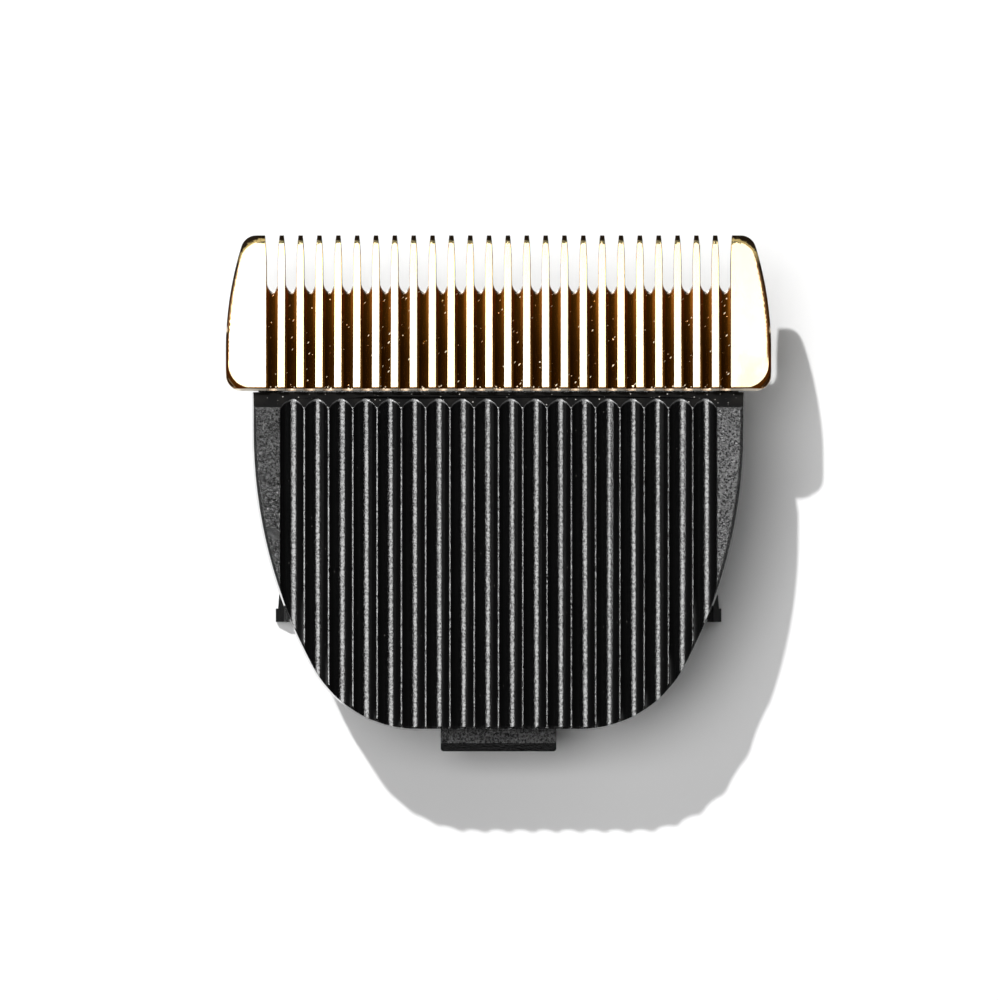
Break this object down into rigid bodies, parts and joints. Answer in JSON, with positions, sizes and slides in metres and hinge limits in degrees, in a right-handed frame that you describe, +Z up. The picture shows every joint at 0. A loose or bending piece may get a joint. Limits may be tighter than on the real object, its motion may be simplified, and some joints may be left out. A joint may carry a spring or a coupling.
{
  "type": "hair clipper blade",
  "caption": "Clip-in hair clipper blade: gold coated steel comb on a fluted black plastic carrier with side lugs and a rear hook, with a sprung white ceramic cutter that slides behind the comb.",
  "frame": {"origin": "middle of the plan, on the surface the part lies on with its fluted face up", "axes": "+X across the blade to the right, +Y to the tooth tips, +Z up out of the fluted face"},
  "size_m": [0.046, 0.0436, 0.0124],
  "materials": {
    "black_plastic": "black moulded plastic, spark-eroded grain on the face, smooth on the bevel",
    "gold_steel": "ground steel with a polished gold titanium coat",
    "white_ceramic": "fine ground white ceramic",
    "grey_plastic": "dark grey low-friction plastic",
    "spring_steel": "bright spring wire",
    "screw_steel": "zinc plated steel"
  },
  "bodies": {
    "carrier_body": {"carrier": "black_plastic", "fixed_blade": "gold_steel", "pressure_spring_left": "spring_steel", "pressure_spring_right": "spring_steel", "blade_screw_left": "screw_steel", "blade_screw_right": "screw_steel"},
    "cutter_body": {"moving_cutter": "white_ceramic", "cutter_holder": "grey_plastic"}
  },
  "joints": [
    {"name": "cutter_slide", "type": "slide", "parent": "carrier_body", "child": "cutter_body", "axis": [1, 0, 0], "range_m": [-0.0013, 0.0013]}
  ]
}
